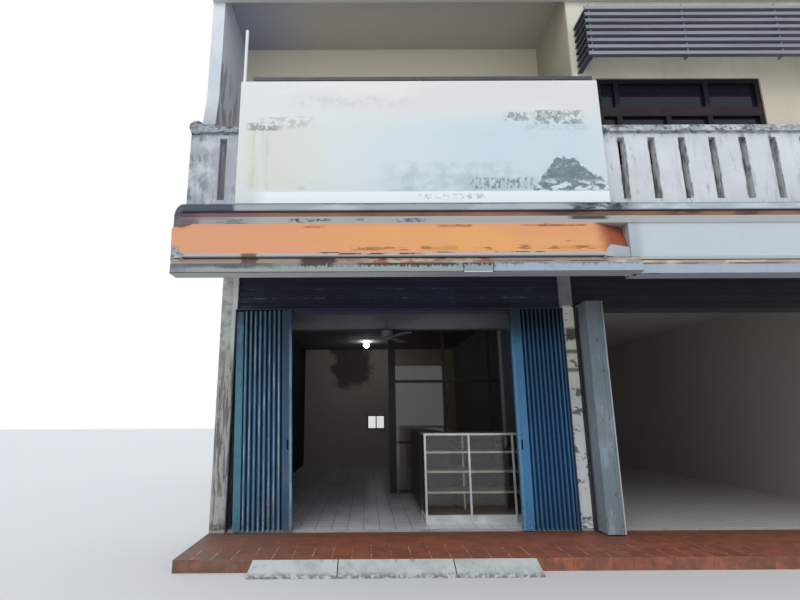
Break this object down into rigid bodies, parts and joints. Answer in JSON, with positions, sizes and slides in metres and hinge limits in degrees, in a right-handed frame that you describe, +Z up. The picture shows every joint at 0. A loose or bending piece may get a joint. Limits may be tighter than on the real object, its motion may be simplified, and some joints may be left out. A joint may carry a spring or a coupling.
{
  "type": "corner shop building, two bays",
  "caption": "Two-storey corner shop building with folding steel gates, a battered orange canopy skirt, a slotted balcony parapet and a louvred sunshade.",
  "frame": {"origin": "On the ground under the middle of the party wall, in the plane of the ground-floor door openings.", "axes": "+X runs to the right along the street front, -Y points to the street, +Z is up."},
  "size_m": [9.2962, 10.485, 7.255],
  "materials": {
    "concrete": "rough cast",
    "terrace_tile": "matt",
    "wall_plaster": "painted, weathered",
    "column_plaster": "painted, stained",
    "cream_plaster": "painted",
    "parapet_plaster": "painted, weathered",
    "cornice_paint": "painted, mouldy",
    "orange_paint": "painted, chipped",
    "dark_boards": "matt",
    "blue_gate": "worn gloss",
    "grey_gate": "matt",
    "dark_timber": "painted",
    "clear_glass": "clear",
    "partition_timber": "varnished",
    "aluminium_bar": "anodised",
    "grey_louvre": "matt",
    "sign_sheet": "faded",
    "steel_tube": "matt",
    "lamp_glass": "opal",
    "dark_panel": "laminated",
    "fan_paint": "matt"
  },
  "bodies": {
    "root": {"ground_slab": "concrete", "terrace_step": "terrace_tile", "entry_ramp": "concrete", "wall_left_ground": "wall_plaster", "wall_party_ground": "wall_plaster", "wall_right_ground": "wall_plaster", "column_left": "column_plaster", "column_party": "column_plaster", "column_right": "column_plaster", "rear_wall": "wall_plaster", "rear_frames": "dark_timber", "headers": "dark_boards", "gate_frames": "dark_boards", "gate_left": "blue_gate", "gate_right": "blue_gate", "side_packs": "grey_gate", "ceiling_beam": "wall_plaster", "ceiling_fan": "fan_paint", "ceiling_lamp": "lamp_glass", "partition_frame": "partition_timber", "partition_glass": "clear_glass", "counter_posts": "aluminium_bar", "counter_shelves": "aluminium_bar", "counter_glass": "clear_glass", "counter_side_run": "dark_panel", "upper_floor_slab": "concrete", "cornice": "cornice_paint", "canopy_skirt": "orange_paint", "canopy_fascia": "cornice_paint", "band_right": "cornice_paint", "parapet_base": "parapet_plaster", "parapet_left": "parapet_plaster", "parapet_right": "parapet_plaster", "parapet_rail": "parapet_plaster", "wall_left_upper": "wall_plaster", "wall_party_upper": "cream_plaster", "wall_right_upper": "wall_plaster", "recess_wall": "cream_plaster", "front_wall_right": "cream_plaster", "upper_doors": "dark_timber", "window_glass": "clear_glass", "sunshade": "grey_louvre", "roof_slab": "concrete", "sign_board": "sign_sheet", "sign_frame": "steel_tube"}
  },
  "joints": []
}
